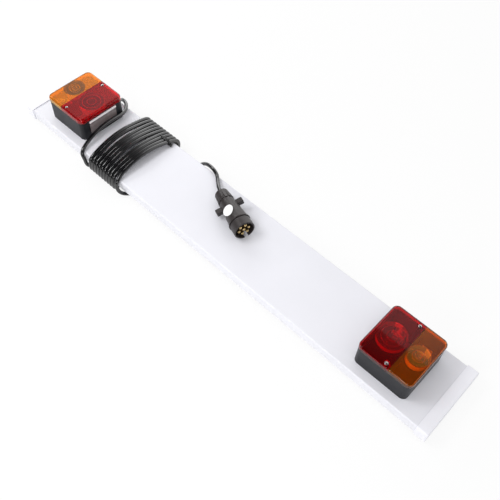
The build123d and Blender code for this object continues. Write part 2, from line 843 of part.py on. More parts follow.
# From the winding's last turn under the near edge, across under the panel, up round the far edge and
# along the front into the plug
tail_start_y = -(winding_y + winding_bend + cord_radius)
tail_points = [
    (179.0, tail_start_y, winding_mid_z),
    (184.5, -77.5, 12.0),
    (190.0, -72.5, 4.6),
    (197.5, -58.5, 3.7),
    (205.5, -40.0, under_z),
    (213.0, -16.0, under_z),
    (216.5, 12.0, under_z),
    (216.5, 38.0, under_z),
    (218.5, 60.0, under_z),
    (224.0, 78.0, 5.0),
    (234.5, 82.0, 19.0),
    (247.5, 79.0, 31.0),
    (264.5, 73.5, 35.5),
    (281.5, 65.5, 34.6),
    (294.0, 53.5, 35.0),
]
tail_route = [(winding_right, tail_start_y, winding_mid_z)] + [(x - lamp_x, y, z) for x, y, z in tail_points]
tail_route.append(tuple(plug_rear - plug_forward * cable_lead_in))
tail_route.append(tuple(plug_rear + plug_forward * (bore_depth - bore_clearance)))

os.makedirs("parts", exist_ok=True)
build_board_panel()
build_end_cap("left", -1)
build_end_cap("right", 1)
for lamp_side, lamp_seat in lamp_seats.items():
    build_lamp_base(lamp_side, lamp_seat)
    build_lens_seal(lamp_side, lamp_seat)
    build_lens(lamp_side, lamp_seat, "red")
    build_lens(lamp_side, lamp_seat, "amber")
    build_lens_screws(lamp_side, lamp_seat)
    build_plate_window(lamp_side, lamp_seat)
    build_bulb(lamp_side, lamp_seat, "stop")
    build_bulb(lamp_side, lamp_seat, "turn")
    build_fixings(lamp_side, lamp_seat)
    build_grommet(lamp_side, lamp_seat)
build_link_lead()
build_cable_boot()
build_cable("cable_feed", feed_route)
build_cable_winding()
build_cable_tie()
build_cable("cable_tail", tail_route)
build_gland_nut()
build_plug_body()
build_plug_skirt()
build_plug_contacts()
build_plug_label()
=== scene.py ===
import math

import bmesh
import bpy
from bpy.props import FloatProperty, FloatVectorProperty, IntProperty, PointerProperty
from bpy.types import Operator, Panel, PropertyGroup
from mathutils import Matrix, Vector


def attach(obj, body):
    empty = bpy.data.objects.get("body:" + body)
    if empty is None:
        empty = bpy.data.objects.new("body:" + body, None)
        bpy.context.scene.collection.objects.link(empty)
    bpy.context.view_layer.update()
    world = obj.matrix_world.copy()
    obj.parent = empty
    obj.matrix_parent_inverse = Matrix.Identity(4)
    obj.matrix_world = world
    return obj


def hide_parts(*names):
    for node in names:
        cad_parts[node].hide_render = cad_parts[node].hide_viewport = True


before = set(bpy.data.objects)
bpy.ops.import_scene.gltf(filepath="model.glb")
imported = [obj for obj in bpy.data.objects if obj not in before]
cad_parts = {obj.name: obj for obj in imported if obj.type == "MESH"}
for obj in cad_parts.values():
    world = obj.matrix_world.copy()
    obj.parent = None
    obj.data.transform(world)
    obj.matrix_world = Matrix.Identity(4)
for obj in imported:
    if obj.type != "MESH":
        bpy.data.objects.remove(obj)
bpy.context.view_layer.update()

bl_info = {
    "name": "Trailer Lighting Board",
    "version": (1, 0, 0),
    "blender": (4, 5, 0),
    "location": "View3D > Sidebar > Lighting Board",
    "description": "Dresses the lighting board's solids with their finishes, cable and optics",
    "category": "Object",
}

SIDES = ("left", "right")


# Sizes and colours that a user would change

class BoardSizes(PropertyGroup):
    """Sizes of the pieces made here, in metres."""
    cable_diameter: FloatProperty(
        name="Cable diameter", description="Outside of the seven core cable's sheath",
        default=0.007, min=0.004, max=0.012, unit="LENGTH")
    cable_length: FloatProperty(
        name="Cable length", description="Sheath length from the boot to the plug",
        default=4.0, min=1.0, max=8.0, unit="LENGTH")
    strand_count: IntProperty(
        name="Turns round the board", description="Strands that lie side by side on the front",
        default=10, min=4, max=12)
    strand_pitch: FloatProperty(
        name="Strand spacing",
        description="Spacing of the turns where they lie closest, on the front",
        default=0.0078, min=0.007, max=0.010, unit="LENGTH")


class BoardColours(PropertyGroup):
    """Colours of the finishes."""
    board_white: FloatVectorProperty(
        name="Board", description="Extruded white plastic of the panel and its end caps",
        default=(0.80, 0.80, 0.85), min=0, max=1, size=3, subtype="COLOR")
    lamp_black: FloatVectorProperty(
        name="Lamp base", description="Moulded tray of the lamps",
        default=(0.013, 0.014, 0.017), min=0, max=1, size=3, subtype="COLOR")
    lens_red: FloatVectorProperty(
        name="Red lens", description="Stop and tail part of the lens",
        default=(0.70, 0.006, 0.012), min=0, max=1, size=3, subtype="COLOR")
    lens_amber: FloatVectorProperty(
        name="Amber lens", description="Turn part of the lens",
        default=(0.95, 0.33, 0.018), min=0, max=1, size=3, subtype="COLOR")
    cable_black: FloatVectorProperty(
        name="Cable", description="Sheath of the cable",
        default=(0.004, 0.004, 0.005), min=0, max=1, size=3, subtype="COLOR")
    plug_black: FloatVectorProperty(
        name="Plug", description="Moulded shell of the plug",
        default=(0.028, 0.022, 0.022), min=0, max=1, size=3, subtype="COLOR")


# Node helpers

MIX_A, MIX_B, MIX_OUT = 6, 7, 2  # a Mix node's colour sockets
NUMBER_A, NUMBER_B = 2, 3  # and its number sockets
GRAIN_HEIGHT = 0.0004


def add_node(tree, kind, inputs=None, **settings):
    """A new node with its settings and the values of its inputs."""
    made = tree.nodes.new(kind)
    for name, value in settings.items():
        setattr(made, name, value)
    for name, value in (inputs or {}).items():
        made.inputs[name].default_value = value
    return made


def new_group(name, kind, sockets_in, sockets_out):
    """A new node group with its sockets, and its input and output nodes."""
    tree = bpy.data.node_groups.new(name, kind)
    for label, socket, default in sockets_in:
        made = tree.interface.new_socket(label, in_out="INPUT", socket_type=socket)
        if default is not None:
            made.default_value = default
    for label, socket in sockets_out:
        tree.interface.new_socket(label, in_out="OUTPUT", socket_type=socket)
    return tree, tree.nodes.new("NodeGroupInput"), tree.nodes.new("NodeGroupOutput")


def skin_grain_group():
    """Fine moulded grain: a height for a bump, and a roughness that wanders over the surface."""
    name = "Skin Grain"
    if name in bpy.data.node_groups:
        return bpy.data.node_groups[name]
    tree, start, end = new_group(
        name, "ShaderNodeTree",
        [("Vector", "NodeSocketVector", None), ("Grain Scale", "NodeSocketFloat", 900.0),
         ("Roughness Low", "NodeSocketFloat", 0.35), ("Roughness High", "NodeSocketFloat", 0.5)],
        [("Height", "NodeSocketFloat"), ("Roughness", "NodeSocketFloat")])
    grain = add_node(tree, "ShaderNodeTexNoise", {"Detail": 3.0, "Roughness": 0.6})
    cloud = add_node(tree, "ShaderNodeTexNoise", {"Scale": 22.0, "Detail": 3.0})
    spread = add_node(tree, "ShaderNodeMapRange", {"From Min": 0.3, "From Max": 0.7})
    tree.links.new(start.outputs["Vector"], grain.inputs["Vector"])
    tree.links.new(start.outputs["Grain Scale"], grain.inputs["Scale"])
    tree.links.new(start.outputs["Vector"], cloud.inputs["Vector"])
    tree.links.new(cloud.outputs["Fac"], spread.inputs["Value"])
    tree.links.new(start.outputs["Roughness Low"], spread.inputs["To Min"])
    tree.links.new(start.outputs["Roughness High"], spread.inputs["To Max"])
    tree.links.new(grain.outputs["Fac"], end.inputs["Height"])
    tree.links.new(spread.outputs["Result"], end.inputs["Roughness"])
    return tree


def tone_drift_group():
    """A colour that drifts a little lighter and darker over the surface."""
    name = "Tone Drift"
    if name in bpy.data.node_groups:
        return bpy.data.node_groups[name]
    tree, start, end = new_group(
        name, "ShaderNodeTree",
        [("Vector", "NodeSocketVector", None), ("Light Tone", "NodeSocketColor", None),
         ("Dark Tone", "NodeSocketColor", None), ("Drift Scale", "NodeSocketFloat", 12.0)],
        [("Color", "NodeSocketColor")])
    cloud = add_node(tree, "ShaderNodeTexNoise", {"Detail": 4.0, "Roughness": 0.55})
    spread = add_node(tree, "ShaderNodeMapRange", {"From Min": 0.3, "From Max": 0.7})
    blend = add_node(tree, "ShaderNodeMix", data_type="RGBA")
    tree.links.new(start.outputs["Vector"], cloud.inputs["Vector"])
    tree.links.new(start.outputs["Drift Scale"], cloud.inputs["Scale"])
    tree.links.new(cloud.outputs["Fac"], spread.inputs["Value"])
    tree.links.new(spread.outputs["Result"], blend.inputs[0])
    tree.links.new(start.outputs["Dark Tone"], blend.inputs[MIX_A])
    tree.links.new(start.outputs["Light Tone"], blend.inputs[MIX_B])
    tree.links.new(blend.outputs[MIX_OUT], end.inputs["Color"])
    return tree


def shade(colour, factor):
    """A colour made lighter or darker, with full alpha."""
    return tuple(min(1.0, part * factor) for part in colour) + (1.0,)


def finish(name, colour, rough, grain_scale=900.0, grain_depth=0.05, drift=0.08, drift_scale=12.0,
           constants=None):
    """A material whose tone and gloss drift and whose skin has a fine grain."""
    made = bpy.data.materials.new(name)
    made.use_nodes = True
    tree = made.node_tree
    surface = tree.nodes["Principled BSDF"]
    place = tree.nodes.new("ShaderNodeTexCoord")
    tones = {"Light Tone": shade(colour, 1.0 + drift), "Dark Tone": shade(colour, 1.0 - drift),
             "Drift Scale": drift_scale}
    tone = add_node(tree, "ShaderNodeGroup", tones, node_tree=tone_drift_group())
    skin = {"Grain Scale": grain_scale, "Roughness Low": rough[0], "Roughness High": rough[1]}
    grain = add_node(tree, "ShaderNodeGroup", skin, node_tree=skin_grain_group())
    bump = add_node(tree, "ShaderNodeBump", {"Strength": grain_depth, "Distance": GRAIN_HEIGHT})
    for group in (tone, grain):
        tree.links.new(place.outputs["Object"], group.inputs["Vector"])
    tree.links.new(tone.outputs["Color"], surface.inputs["Base Color"])
    tree.links.new(grain.outputs["Roughness"], surface.inputs["Roughness"])
    tree.links.new(grain.outputs["Height"], bump.inputs["Height"])
    tree.links.new(bump.outputs["Normal"], surface.inputs["Normal"])
    for label, value in (constants or {}).items():
        surface.inputs[label].default_value = value
    return made


def metal_finish(name, colour, rough, grain_depth, drift):
    """Bare or plated metal."""
    return finish(name, colour, rough, grain_depth=grain_depth, drift=drift, drift_scale=40.0,
                  constants={"Metallic": 1.0})


def painted_seam_shade_group():
    """Mask of a thin line across the board beside each end cap's mouth, where shade is painted."""
    name = "Seam Line"
    if name in bpy.data.node_groups:
        return bpy.data.node_groups[name]
    tree, start, end = new_group(
        name, "ShaderNodeTree",
        [("Vector", "NodeSocketVector", None), ("Line", "NodeSocketFloat", 0.45),
         ("Width", "NodeSocketFloat", 0.001)],
        [("Mask", "NodeSocketFloat")])
    parts = tree.nodes.new("ShaderNodeSeparateXYZ")
    reach = add_node(tree, "ShaderNodeMath", operation="ABSOLUTE")
    apart = add_node(tree, "ShaderNodeMath", operation="SUBTRACT")
    off = add_node(tree, "ShaderNodeMath", operation="ABSOLUTE")
    soft = add_node(tree, "ShaderNodeMapRange", {"From Min": 0.0, "To Min": 1.0, "To Max": 0.0})
    tree.links.new(start.outputs["Vector"], parts.inputs[0])
    tree.links.new(parts.outputs["X"], reach.inputs[0])
    tree.links.new(reach.outputs[0], apart.inputs[0])
    tree.links.new(start.outputs["Line"], apart.inputs[1])
    tree.links.new(apart.outputs[0], off.inputs[0])
    tree.links.new(off.outputs[0], soft.inputs["Value"])
    tree.links.new(start.outputs["Width"], soft.inputs["From Max"])
    tree.links.new(soft.outputs["Result"], end.inputs["Mask"])
    return tree


def lens_zone_group():
    """Mask of the clear round window in a lens, on the lamps at both ends of the board."""
    name = "Lens Zone"
    if name in bpy.data.node_groups:
        return bpy.data.node_groups[name]
    tree, start, end = new_group(
        name, "ShaderNodeTree",
        [("Vector", "NodeSocketVector", None), ("Centre", "NodeSocketFloat", 0.35),
         ("Radius", "NodeSocketFloat", 0.02), ("Inner Ring", "NodeSocketFloat", 0.005),
         ("Outer Ring", "NodeSocketFloat", 0.01)],
        [("Mask", "NodeSocketFloat")])
    parts = tree.nodes.new("ShaderNodeSeparateXYZ")
    reach = add_node(tree, "ShaderNodeMath", operation="ABSOLUTE")
    along = add_node(tree, "ShaderNodeMath", operation="SUBTRACT")
    flat = tree.nodes.new("ShaderNodeCombineXYZ")
    away = add_node(tree, "ShaderNodeVectorMath", operation="LENGTH")
    inside = add_node(tree, "ShaderNodeMath", operation="SUBTRACT")
    soft = add_node(tree, "ShaderNodeMapRange", {"From Min": 0.0, "From Max": 0.0006})
    tree.links.new(start.outputs["Vector"], parts.inputs[0])
    tree.links.new(parts.outputs["X"], reach.inputs[0])
    tree.links.new(reach.outputs[0], along.inputs[0])
    tree.links.new(start.outputs["Centre"], along.inputs[1])
    tree.links.new(along.outputs[0], flat.inputs[0])
    tree.links.new(parts.outputs["Y"], flat.inputs[1])
    tree.links.new(flat.outputs[0], away.inputs[0])
    tree.links.new(start.outputs["Radius"], inside.inputs[0])
    tree.links.new(away.outputs["Value"], inside.inputs[1])
    tree.links.new(inside.outputs[0], soft.inputs["Value"])
    mask = soft.outputs["Result"]
    for ring in ("Inner Ring", "Outer Ring"):
        beside = add_node(tree, "ShaderNodeMath", operation="SUBTRACT")
        off = add_node(tree, "ShaderNodeMath", operation="ABSOLUTE")
        line = add_node(tree, "ShaderNodeMapRange", {"From Min": 0.0003, "From Max": 0.0010})
        kept = add_node(tree, "ShaderNodeMath", operation="MULTIPLY")
        tree.links.new(away.outputs["Value"], beside.inputs[0])
        tree.links.new(start.outputs[ring], beside.inputs[1])
        tree.links.new(beside.outputs[0], off.inputs[0])
        tree.links.new(off.outputs[0], line.inputs["Value"])
        tree.links.new(mask, kept.inputs[0])
        tree.links.new(line.outputs["Result"], kept.inputs[1])
        mask = kept.outputs[0]
    tree.links.new(mask, end.inputs["Mask"])
    return tree


def zone(material, group, values, colour):
    """Gives the part of a material that a mask covers another colour."""
    tree = material.node_tree
    base = tree.nodes["Principled BSDF"].inputs["Base Color"]
    place = tree.nodes.new("ShaderNodeTexCoord")
    mask = add_node(tree, "ShaderNodeGroup", values, node_tree=group)
    blend = add_node(tree, "ShaderNodeMix", {MIX_B: colour}, data_type="RGBA")
    tree.links.new(place.outputs["Object"], mask.inputs["Vector"])
    tree.links.new(mask.outputs["Mask"], blend.inputs[0])
    tree.links.new(base.links[0].from_socket, blend.inputs[MIX_A])
    tree.links.new(blend.outputs[MIX_OUT], base)


def dress(node_name, material):
    """Gives a CAD node its finish."""
    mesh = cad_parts[node_name].data
    mesh.materials.clear()
    mesh.materials.append(material)


def link(name, data):
    """A new object in the scene."""
    made = bpy.data.objects.new(name, data)
    bpy.context.scene.collection.objects.link(made)
    return made


# Cable

FEED_ROUTE = (
    (-0.3980, 0.00416, 0.0038), (-0.3980, 0.0220, 0.0038), (-0.3950, 0.0400, 0.0038),
    (-0.3880, 0.0600, 0.0038), (-0.3770, 0.0760, 0.0052), (-0.3640, 0.0775, 0.0190),
    (-0.3520, 0.0725, 0.0305), (-0.3370, 0.0680, 0.0365), (-0.3245, 0.0600, 0.0390),
    (-0.3130, 0.0460, 0.0412), (-0.3120, 0.0205, 0.0450), (-0.3115, -0.0040, 0.0460),
    (-0.3090, -0.0280, 0.0435), (-0.3060, -0.0495, 0.0380), (-0.3005, -0.0655, 0.0345),
    (-0.2970, -0.0720, 0.0285), (-0.2925, -0.0715, 0.0190), (-0.2880, -0.0725, 0.0085),
    (-0.2845, -0.0685, 0.0037), (-0.2820, -0.0410, 0.0038),
)
TAIL_ROUTE = (
    (-0.1995, -0.0705, 0.0325), (-0.1985, -0.0745, 0.0230), (-0.1955, -0.0750, 0.0130),
    (-0.1900, -0.0700, 0.0050), (-0.1805, -0.0585, 0.0037), (-0.1680, -0.0400, 0.0038),
    (-0.1560, -0.0160, 0.0038), (-0.1500, 0.0120, 0.0038),
    (-0.1490, 0.0380, 0.0038), (-0.1470, 0.0600, 0.0038), (-0.1415, 0.0745, 0.0050),
    (-0.1300, 0.0760, 0.0175), (-0.1160, 0.0733, 0.0285), (-0.0990, 0.0690, 0.0345),
    (-0.0830, 0.0640, 0.0345), (-0.0710, 0.0530, 0.0355), (-0.05088, 0.03598, 0.04371),
    (-0.03237, 0.02910, 0.04509),
)
# How far each strand leans along the board and lies up or down where it crosses the front
STRAND_LEAN = (-0.0016, -0.0024, 0.0021, 0.0013, 0.0005,
               -0.0003, 0.0042, 0.0034, 0.0026, 0.0018)
STRAND_LIFT = (0.0, -0.0006, 0.0004, -0.0003, 0.0006,
               -0.0004, 0.0002, 0.0005, -0.0003, 0.0006)
# The first turn's places along the board, and how the turns spread at the board's edges
ENTRY_X, MIDDLE_X, FAR_X, NEAR_X = -0.2818, -0.2771, -0.2790, -0.2742
FAR_SPREAD, NEAR_SPREAD = 1.14, 1.015
UNDER_REACH, UNDER_Z = 0.058, 0.0038
FAR_EDGE = ((0.0690, 0.0037), (0.0757, 0.0095), (0.0772, 0.0223), (0.0715, 0.0320))
NEAR_EDGE = ((-0.0692, 0.0323), (-0.0724, 0.0223), (-0.0727, 0.0098), (-0.0689, 0.0037))
ARCH_RADIUS, ARCH_CENTRE_Z = 0.1996, -0.1544
ARCH_HALF_ANGLE = math.radians(19.35)


def winding_route(count, pitch):
    """Points of the turns: each goes under the board, up its far edge, over the front and down."""
    def middle(turn):
        return MIDDLE_X + pitch * turn + STRAND_LEAN[turn % len(STRAND_LEAN)]

    def far(turn):
        return FAR_X + pitch * FAR_SPREAD * turn

    def near(turn):
        return NEAR_X + pitch * NEAR_SPREAD * turn

    points = []
    for turn in range(count):
        lift = STRAND_LIFT[turn % len(STRAND_LIFT)]
        entry = near(turn - 1) if turn else ENTRY_X
        for share in (0.2, 0.4, 0.6, 0.8):
            x = entry + (far(turn) - entry) * share
            points.append((x, UNDER_REACH * (2 * share - 1), UNDER_Z))
        points.extend((far(turn), y, z) for y, z in FAR_EDGE)
        for bow in (0.8, 0.4, 0.0, -0.4, -0.8):
            angle = ARCH_HALF_ANGLE * bow
            share = math.sin(angle) / math.sin(ARCH_HALF_ANGLE)
            side = far(turn) if share > 0 else near(turn)
            x = middle(turn) + (side - middle(turn)) * share * share
            points.append((x, ARCH_RADIUS * math.sin(angle),
                           ARCH_CENTRE_Z + ARCH_RADIUS * math.cos(angle) + lift))
        if turn == count - 1:
            break
        points.extend((near(turn), y, z) for y, z in NEAR_EDGE)
    return points


class BOARD_OT_cable(Operator):
    """Lays the cable from its boot, round the board and to the plug"""
    bl_idname = "lighting_board.cable"
    bl_label = "Cable"

    def execute(self, context):
        sizes = context.scene.board_sizes
        colours = context.scene.board_colours
        route = [*FEED_ROUTE, *winding_route(sizes.strand_count, sizes.strand_pitch), *TAIL_ROUTE]
        curve = bpy.data.curves.new("cable", "CURVE")
        curve.dimensions = "3D"
        curve.bevel_depth = sizes.cable_diameter / 2
        curve.bevel_resolution = 6
        curve.resolution_u = 6
        curve.use_fill_caps = True
        spline = curve.splines.new("NURBS")
        spline.points.add(len(route) - 1)
        for point, place in zip(spline.points, route):
            point.co = (*place, 1.0)
        spline.order_u = 3
        spline.use_endpoint_u = True
        cable = link("cable", curve)
        curve.materials.append(finish(
            "Cable sheath", colours.cable_black, (0.06, 0.11), grain_scale=500.0, grain_depth=0.02,
            drift=0.15, drift_scale=30.0, constants={"Specular IOR Level": 0.9}))
        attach(cable, "root")
        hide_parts("cable_feed", "cable_winding", "cable_tail")
        return {"FINISHED"}


# Board

# Painted shade: the board is darker in a thin line beside each cap's mouth
CAP_MOUTH, SEAM_WIDTH = 0.4500, 0.0012
SEAM_PAINTED_SHADE, CAP_SHADE = 0.88, 1.08


class BOARD_OT_panel(Operator):
    """Finishes the panel and its end caps"""
    bl_idname = "lighting_board.panel"
    bl_label = "Panel and End Caps"

    def execute(self, context):
        colour = context.scene.board_colours.board_white
        skin = {"rough": (0.36, 0.46), "grain_scale": 600.0, "grain_depth": 0.02, "drift": 0.015}
        white = finish("Board white", colour, **skin)
        # Painted shade in a thin line beside each cap's mouth
        zone(white, painted_seam_shade_group(), {"Line": CAP_MOUTH, "Width": SEAM_WIDTH},
             shade(colour, SEAM_PAINTED_SHADE))
        dress("board_panel", white)
        caps = finish("Cap white", shade(colour, CAP_SHADE)[:3], **skin)
        for side in SIDES:
            dress(f"end_cap_{side}", caps)
        return {"FINISHED"}


# Lamps, drawn in their own frame: x towards the board's end, z up from the board's front

LAMP_X, FRONT_Z = 0.3655, 0.0297
LENS_HALF, LENS_CORNER, LENS_EDGE = 0.049, 0.010, 0.003
LENS_LOW, LENS_HIGH, LENS_WALL, LENS_CEILING = 0.0405, 0.0500, 0.0022, 0.0474
LENS_SPLIT, SEAM_SLACK = 0.008, 0.0001
FLAT_RIM, CEILING_EDGE = 0.0004, 0.0012
WALL_TOP = LENS_CEILING - 0.003
LEVEL_LIMIT = 0.5  # a face whose normal rises more than this counts as level
SCREW_PLACES, SCREW_SINK = ((0.0, 0.0417), (0.0, -0.0417)), 0.0019
WELL_RADIUS, WELL_DEPTH = 0.0044, 0.0024
# Round collars under the lens: place and radius, depth, and the lit stretch in degrees, where
# the inside keeps the outside's painted light
CUPS = {"red": (-0.02015, 0.02415), "amber": (0.0274, 0.0182)}
CUP_DEPTH = {"red": 0.010, "amber": 0.013}
CUP_LIT = {"red": (84, 116), "amber": (45, 83)}
CUP_WALL, CUP_LIP, CUP_GAP = 0.0016, 0.0004, 0.0001
CUP_OUTWARD = 0.2  # a face that looks out by more than this share of the radius is outside
OPTIC_RINGS = {"red": (0.0085, 0.0170), "amber": (0.0045, 0.0095)}
RIDGE, RIDGE_DROP = 0.0006, 0.0002
PANE_BOX, PANE_EDGE = ((-0.0487, -0.0308, 0.0082), (-0.0463, 0.0308, 0.0338)), 0.0003
BAR_BOX, BAR_EDGE = ((-0.0503, -0.0308, 0.0338), (-0.0463, 0.0308, 0.0376)), 0.0006

# How the lens plastic takes the light, by colour and by the board's end, where the ends differ by
# painted light and shade. The scatter is the share that it spreads, larger on the left lamp as
# painted light, the depth a power that deepens its tone, on the right lamp's amber as painted shade,
# and a zone the place and radius of the clear round window, whose tone is painted darker on the
# left lamp and lighter on the right. The walls are painted lighter on the left lamp and darker on
# the right.

LENS_HALVES = tuple((colour, side) for side in SIDES for colour in CUPS)
LENS_TINT = {"red": (0.92, 0.25, 0.25), "amber": (0.96, 0.80, 0.45)}
LENS_SCATTER_PAINTED_BY_END = {("red", "left"): 0.16, ("red", "right"): 0.045,
                ("amber", "left"): 0.29, ("amber", "right"): 0.06}
LENS_DEPTH_PAINTED_SHADE = {("red", "left"): 1.0, ("red", "right"): 1.0,
              ("amber", "left"): 1.0, ("amber", "right"): 1.3}
LENS_ZONES = {("red", "left"): (-0.02015, 0.02315), ("red", "right"): (-0.02015, 0.02315),
              ("amber", "left"): (0.0300, 0.0205), ("amber", "right"): (0.0276, 0.0178)}
LENS_WINDOW_PAINTED_LIGHT = {("red", "left"): (0.52, 0.016, 0.028, 1.0),
              ("red", "right"): (0.92, 0.014, 0.024, 1.0),
              ("amber", "left"): (0.40, 0.17, 0.052, 1.0),
              ("amber", "right"): (0.98, 0.42, 0.05, 1.0)}
WALL_PAINTED_LIGHT_AND_SHADE = {("red", "left"): 1.3, ("red", "right"): 0.75,
              ("amber", "left"): 1.7, ("amber", "right"): 0.5}
# Ridges: a lighter tone as painted highlight lines, more scatter on the left lamp as painted light
RIDGE_HIGHLIGHT_TONE = {"red": (0.75, 0.03, 0.04), "amber": (0.85, 0.45, 0.15)}
RIDGE_TINT = {"red": (0.7, 0.1, 0.1), "amber": (0.8, 0.5, 0.2)}
RIDGE_SCATTER_PAINTED_BY_END = {"left": 0.6, "right": 0.2}
# Cups: a lit copy of the plastic as painted light, and a dark copy inside as painted shade
CUP_PAINTED_LIT_TONE = {"red": (0.95, 0.03, 0.04), "amber": (0.99, 0.68, 0.18)}
CUP_TINT = {"red": (0.5, 0.03, 0.03), "amber": (0.7, 0.35, 0.08)}
CUP_PAINTED_LIT_SCATTER = 0.85
CUP_PAINTED_SHADE_TONE = {"red": (0.30, 0.004, 0.008), "amber": (0.30, 0.16, 0.05)}
CUP_PAINTED_SHADE_SCATTER = {"red": 0.25, "amber": 0.15}


def lamp_place(side):
    """Turns a lamp's own frame, whose x points to the board's end, into the board's."""
    turn = Matrix.Rotation(math.pi if side == "left" else 0.0, 4, "Z")
    x = -LAMP_X if side == "left" else LAMP_X
    return Matrix.Translation((x, 0.0, FRONT_Z)) @ turn


def round_square(half, radius, steps=8):
    """Outline of a square with round corners, anticlockwise."""
    points = []
    for corner, (sx, sy) in enumerate(((1, 1), (-1, 1), (-1, -1), (1, -1))):
        for step in range(steps + 1):
            angle = math.radians(90 * corner + 90 * step / steps)
            points.append((sx * (half - radius) + radius * math.cos(angle),
                           sy * (half - radius) + radius * math.sin(angle)))
    return points


def full_turn(steps):
    """Angles round a circle in equal steps."""
    return [math.tau * step / steps for step in range(steps)]


def loft(mesh, rings, close_first=False, close_last=False, join_ends=False):
    """Skins a row of equal rings in a bmesh, with end faces where asked."""
    rows = [[mesh.verts.new(point) for point in ring] for ring in rings]
    pairs = list(zip(rows, rows[1:]))
    if join_ends:
        pairs.append((rows[-1], rows[0]))
    for low, high in pairs:
        for here in range(len(low)):
            after = (here + 1) % len(low)
            mesh.faces.new((low[here], low[after], high[after], high[here]))
    if close_first:
        mesh.faces.new(list(reversed(rows[0])))
    if close_last:
        mesh.faces.new(rows[-1])


def smooth_mesh(made, name, angle=35.0):
    """Makes an object mesh of a bmesh, outward and smooth except at its sharp edges."""
    bmesh.ops.recalc_face_normals(made, faces=made.faces)
    mesh = bpy.data.meshes.new(name)
    made.to_mesh(mesh)
    made.free()
    mesh.shade_smooth()
    mesh.set_sharp_from_angle(angle=math.radians(angle))
    return mesh


def cover_rings(half, corner, top, edge, steps):
    """Rings of a square cover, from its foot up the wall and round its top edge."""
    rings = [[(x, y, LENS_LOW) for x, y in round_square(half, corner)]]
    for step in range(steps + 1):
        turn = math.radians(90 * step / steps)
        inset = edge * (1 - math.cos(turn))
        z = top - edge + edge * math.sin(turn)
        rings.append([(x, y, z) for x, y in round_square(half - inset, corner - inset)])
    return rings


def lens_shell(colour):
    """One colour's half of the lens: rounded cover with a wall, cut on the seam."""
    outside = cover_rings(LENS_HALF, LENS_CORNER, LENS_HIGH, LENS_EDGE, steps=8)
    flat = LENS_EDGE + FLAT_RIM
    rim = round_square(LENS_HALF - flat, LENS_CORNER - flat)
    outside.append([(x, y, LENS_HIGH) for x, y in rim])
    inside = cover_rings(LENS_HALF - LENS_WALL, LENS_CORNER - LENS_WALL, LENS_CEILING, CEILING_EDGE,
                         steps=4)
    made = bmesh.new()
    loft(made, inside[::-1] + outside, close_first=True, close_last=True)
    bmesh.ops.recalc_face_normals(made, faces=made.faces)
    cut = bmesh.ops.bisect_plane(
        made, geom=list(made.verts) + list(made.edges) + list(made.faces), dist=1e-7,
        plane_co=(LENS_SPLIT, 0, 0), plane_no=(1, 0, 0),
        clear_outer=colour == "red", clear_inner=colour == "amber")
    edges = [item for item in cut["geom_cut"] if isinstance(item, bmesh.types.BMEdge)]
    bmesh.ops.triangle_fill(made, use_beauty=True, edges=edges)
    return made


def lens_cup(colour):
    """Round collar under the lens, with painted shade inside except on the stretch that the light
    reaches.
    """
    place, radius = CUPS[colour]
    lit_from, lit_to = CUP_LIT[colour]
    top, low = LENS_CEILING - CUP_GAP, LENS_CEILING - CUP_DEPTH[colour]
    inner, lip = radius - CUP_WALL, low + CUP_LIP
    foot = (radius - CUP_WALL / 2, low)
    rings = []
    for across, z in ((radius, lip), (radius, top), (inner, top), (inner, lip), foot):
        rings.append([(place + across * math.cos(turn), across * math.sin(turn), z)
                      for turn in full_turn(72)])
    made = bmesh.new()
    loft(made, rings, join_ends=True)
    bmesh.ops.recalc_face_normals(made, faces=made.faces)
    for face in made.faces:
        middle = face.calc_center_median()
        outward = face.normal.x * (middle.x - place) + face.normal.y * middle.y
        lit = lit_from < math.degrees(math.atan2(middle.y, middle.x - place)) < lit_to
        # Inside faces off the lit stretch take the painted shade finish
        face.material_index = int(outward < CUP_OUTWARD * radius and not lit)
    return made


def lens_optic(colour):
    """Round ridges of the bull's eye on the lens's underside, inside its cup."""
    place = CUPS[colour][0]
    made = bmesh.new()
    for radius in OPTIC_RINGS[colour]:
        rings = []
        for turn in full_turn(64):
            ring = []
            for lean in full_turn(8):
                across = radius + RIDGE * math.cos(lean)
                ring.append((place + across * math.cos(turn), across * math.sin(turn),
                             LENS_CEILING - RIDGE_DROP + RIDGE * math.sin(lean)))
            rings.append(ring)
        loft(made, rings, join_ends=True)
    return made


def lens_finish(name, colour, scatter, tint):
    """Clear coloured plastic: it lets the lamps' light through to what is behind it."""
    made = finish(name, colour, (0.01, 0.03), grain_scale=60.0, grain_depth=0.004, drift=0.04,
                  drift_scale=30.0, constants={"Transmission Weight": 1.0 - scatter, "IOR": 1.42})
    tree = made.node_tree
    surface = tree.nodes["Principled BSDF"]
    path = tree.nodes.new("ShaderNodeLightPath")
    facing = tree.nodes.new("ShaderNodeNewGeometry")
    upright = tree.nodes.new("ShaderNodeSeparateXYZ")
    level = add_node(tree, "ShaderNodeMath", operation="ABSOLUTE")
    flat = add_node(tree, "ShaderNodeMath", {1: LEVEL_LIMIT}, operation="GREATER_THAN")
    lit = add_node(tree, "ShaderNodeMath", operation="MULTIPLY")
    tree.links.new(facing.outputs["True Normal"], upright.inputs[0])
    tree.links.new(upright.outputs["Z"], level.inputs[0])
    tree.links.new(level.outputs[0], flat.inputs[0])
    tree.links.new(path.outputs["Is Shadow Ray"], lit.inputs[0])
    tree.links.new(flat.outputs[0], lit.inputs[1])
    through = add_node(tree, "ShaderNodeBsdfTransparent", {"Color": (*tint, 1.0)})
    blend = tree.nodes.new("ShaderNodeMixShader")
    tree.links.new(lit.outputs[0], blend.inputs[0])
    tree.links.new(surface.outputs[0], blend.inputs[1])
    tree.links.new(through.outputs[0], blend.inputs[2])
    tree.links.new(blend.outputs[0], tree.nodes["Material Output"].inputs["Surface"])
    return made


